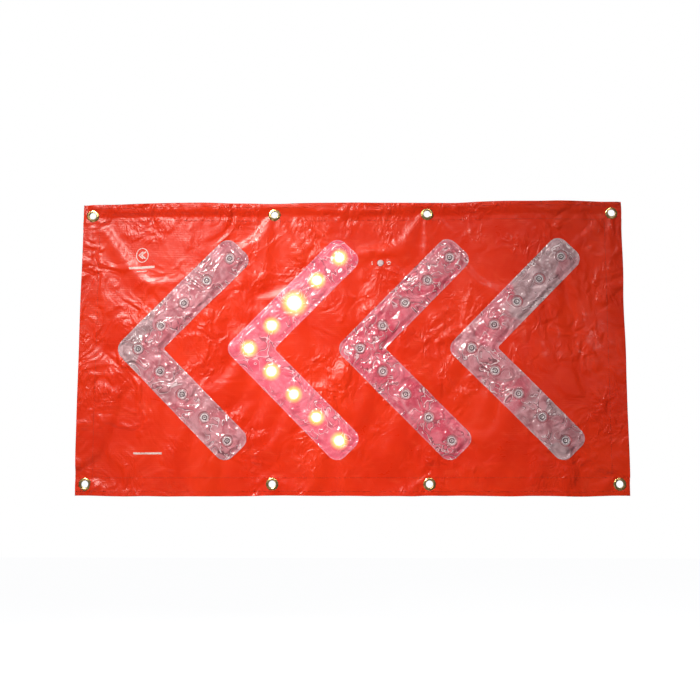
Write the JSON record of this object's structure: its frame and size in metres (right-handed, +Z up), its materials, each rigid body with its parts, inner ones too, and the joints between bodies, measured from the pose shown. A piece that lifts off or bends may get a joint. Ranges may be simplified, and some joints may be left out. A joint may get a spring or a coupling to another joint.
{
  "type": "roll-up led arrow banner",
  "caption": "Flexible vinyl banner sign with a row of LED chevrons under clear film, brass eyelets, a push button, and a flasher and battery pocket behind.",
  "frame": {"origin": "centre of the eyelet pattern, on the front face of the sheet", "axes": "+X along the banner to the right as seen from the front, -Y out of the front face, +Z up"},
  "size_m": [1.22, 0.0552, 0.656],
  "materials": {
    "orange_vinyl": "glossy coated fabric",
    "liner_vinyl": "satin coated fabric",
    "clear_film": "clear, wrinkled, glossy",
    "holder_plastic": "moulded, satin",
    "lens_plastic": "clear, polished",
    "dark_plastic": "moulded, fine texture",
    "board_laminate": "solder resist",
    "wire_jacket": "smooth",
    "brass": "plated, worn",
    "steel": "plated",
    "button_plastic": "moulded, glossy",
    "gasket_rubber": "matte",
    "cell_jacket": "plain wrap",
    "black_tape": "hook and loop"
  },
  "bodies": {
    "banner": {"front_sheet": "orange_vinyl", "hem_top": "orange_vinyl", "hem_bottom": "orange_vinyl", "hem_left": "orange_vinyl", "hem_right": "orange_vinyl", "back_liner": "liner_vinyl", "trunk_lead": "wire_jacket", "battery_lead": "wire_jacket", "eyelets_top": "brass", "eyelets_bottom": "brass", "washers_top": "brass", "washers_bottom": "brass", "button_spring": "steel", "tact_switch": "dark_plastic", "circuit_board": "board_laminate", "board_parts": "dark_plastic", "flasher_case": "dark_plastic", "flasher_lid": "dark_plastic", "flasher_screws": "steel", "case_gasket": "gasket_rubber", "battery_pocket": "liner_vinyl", "battery_case": "dark_plastic", "battery_cover": "dark_plastic", "cover_screws": "steel", "battery_cells": "cell_jacket", "contact_plates": "steel", "contact_springs": "steel", "flap_anchor": "liner_vinyl", "loop_strip": "black_tape", "window_film_1": "clear_film", "led_holders_1": "holder_plastic", "led_lenses_1": "lens_plastic", "led_rings_1": "dark_plastic", "led_boards_1": "board_laminate", "led_wires_1": "wire_jacket", "window_film_2": "clear_film", "led_holders_2": "holder_plastic", "led_lenses_2": "lens_plastic", "led_rings_2": "dark_plastic", "led_boards_2": "board_laminate", "led_wires_2": "wire_jacket", "window_film_3": "clear_film", "led_holders_3": "holder_plastic", "led_lenses_3": "lens_plastic", "led_rings_3": "dark_plastic", "led_boards_3": "board_laminate", "led_wires_3": "wire_jacket", "window_film_4": "clear_film", "led_holders_4": "holder_plastic", "led_lenses_4": "lens_plastic", "led_rings_4": "dark_plastic", "led_boards_4": "board_laminate", "led_wires_4": "wire_jacket"},
    "button": {"on_off_button": "button_plastic"},
    "flap": {"pocket_flap": "liner_vinyl", "hook_strip": "black_tape"}
  },
  "joints": [
    {"name": "button_press", "type": "slide", "parent": "banner", "child": "button", "axis": [0, 1, 0], "range_m": [0, 0.0015], "stiffness_N_per_m": 400, "springref_m": -0.001, "deforming": ["button_spring"]},
    {"name": "flap_hinge", "type": "hinge", "parent": "banner", "child": "flap", "pos_m": [0.067, 0.0084, 0.1142], "axis": [1, 0, 0], "range_deg": [0, 85]}
  ]
}
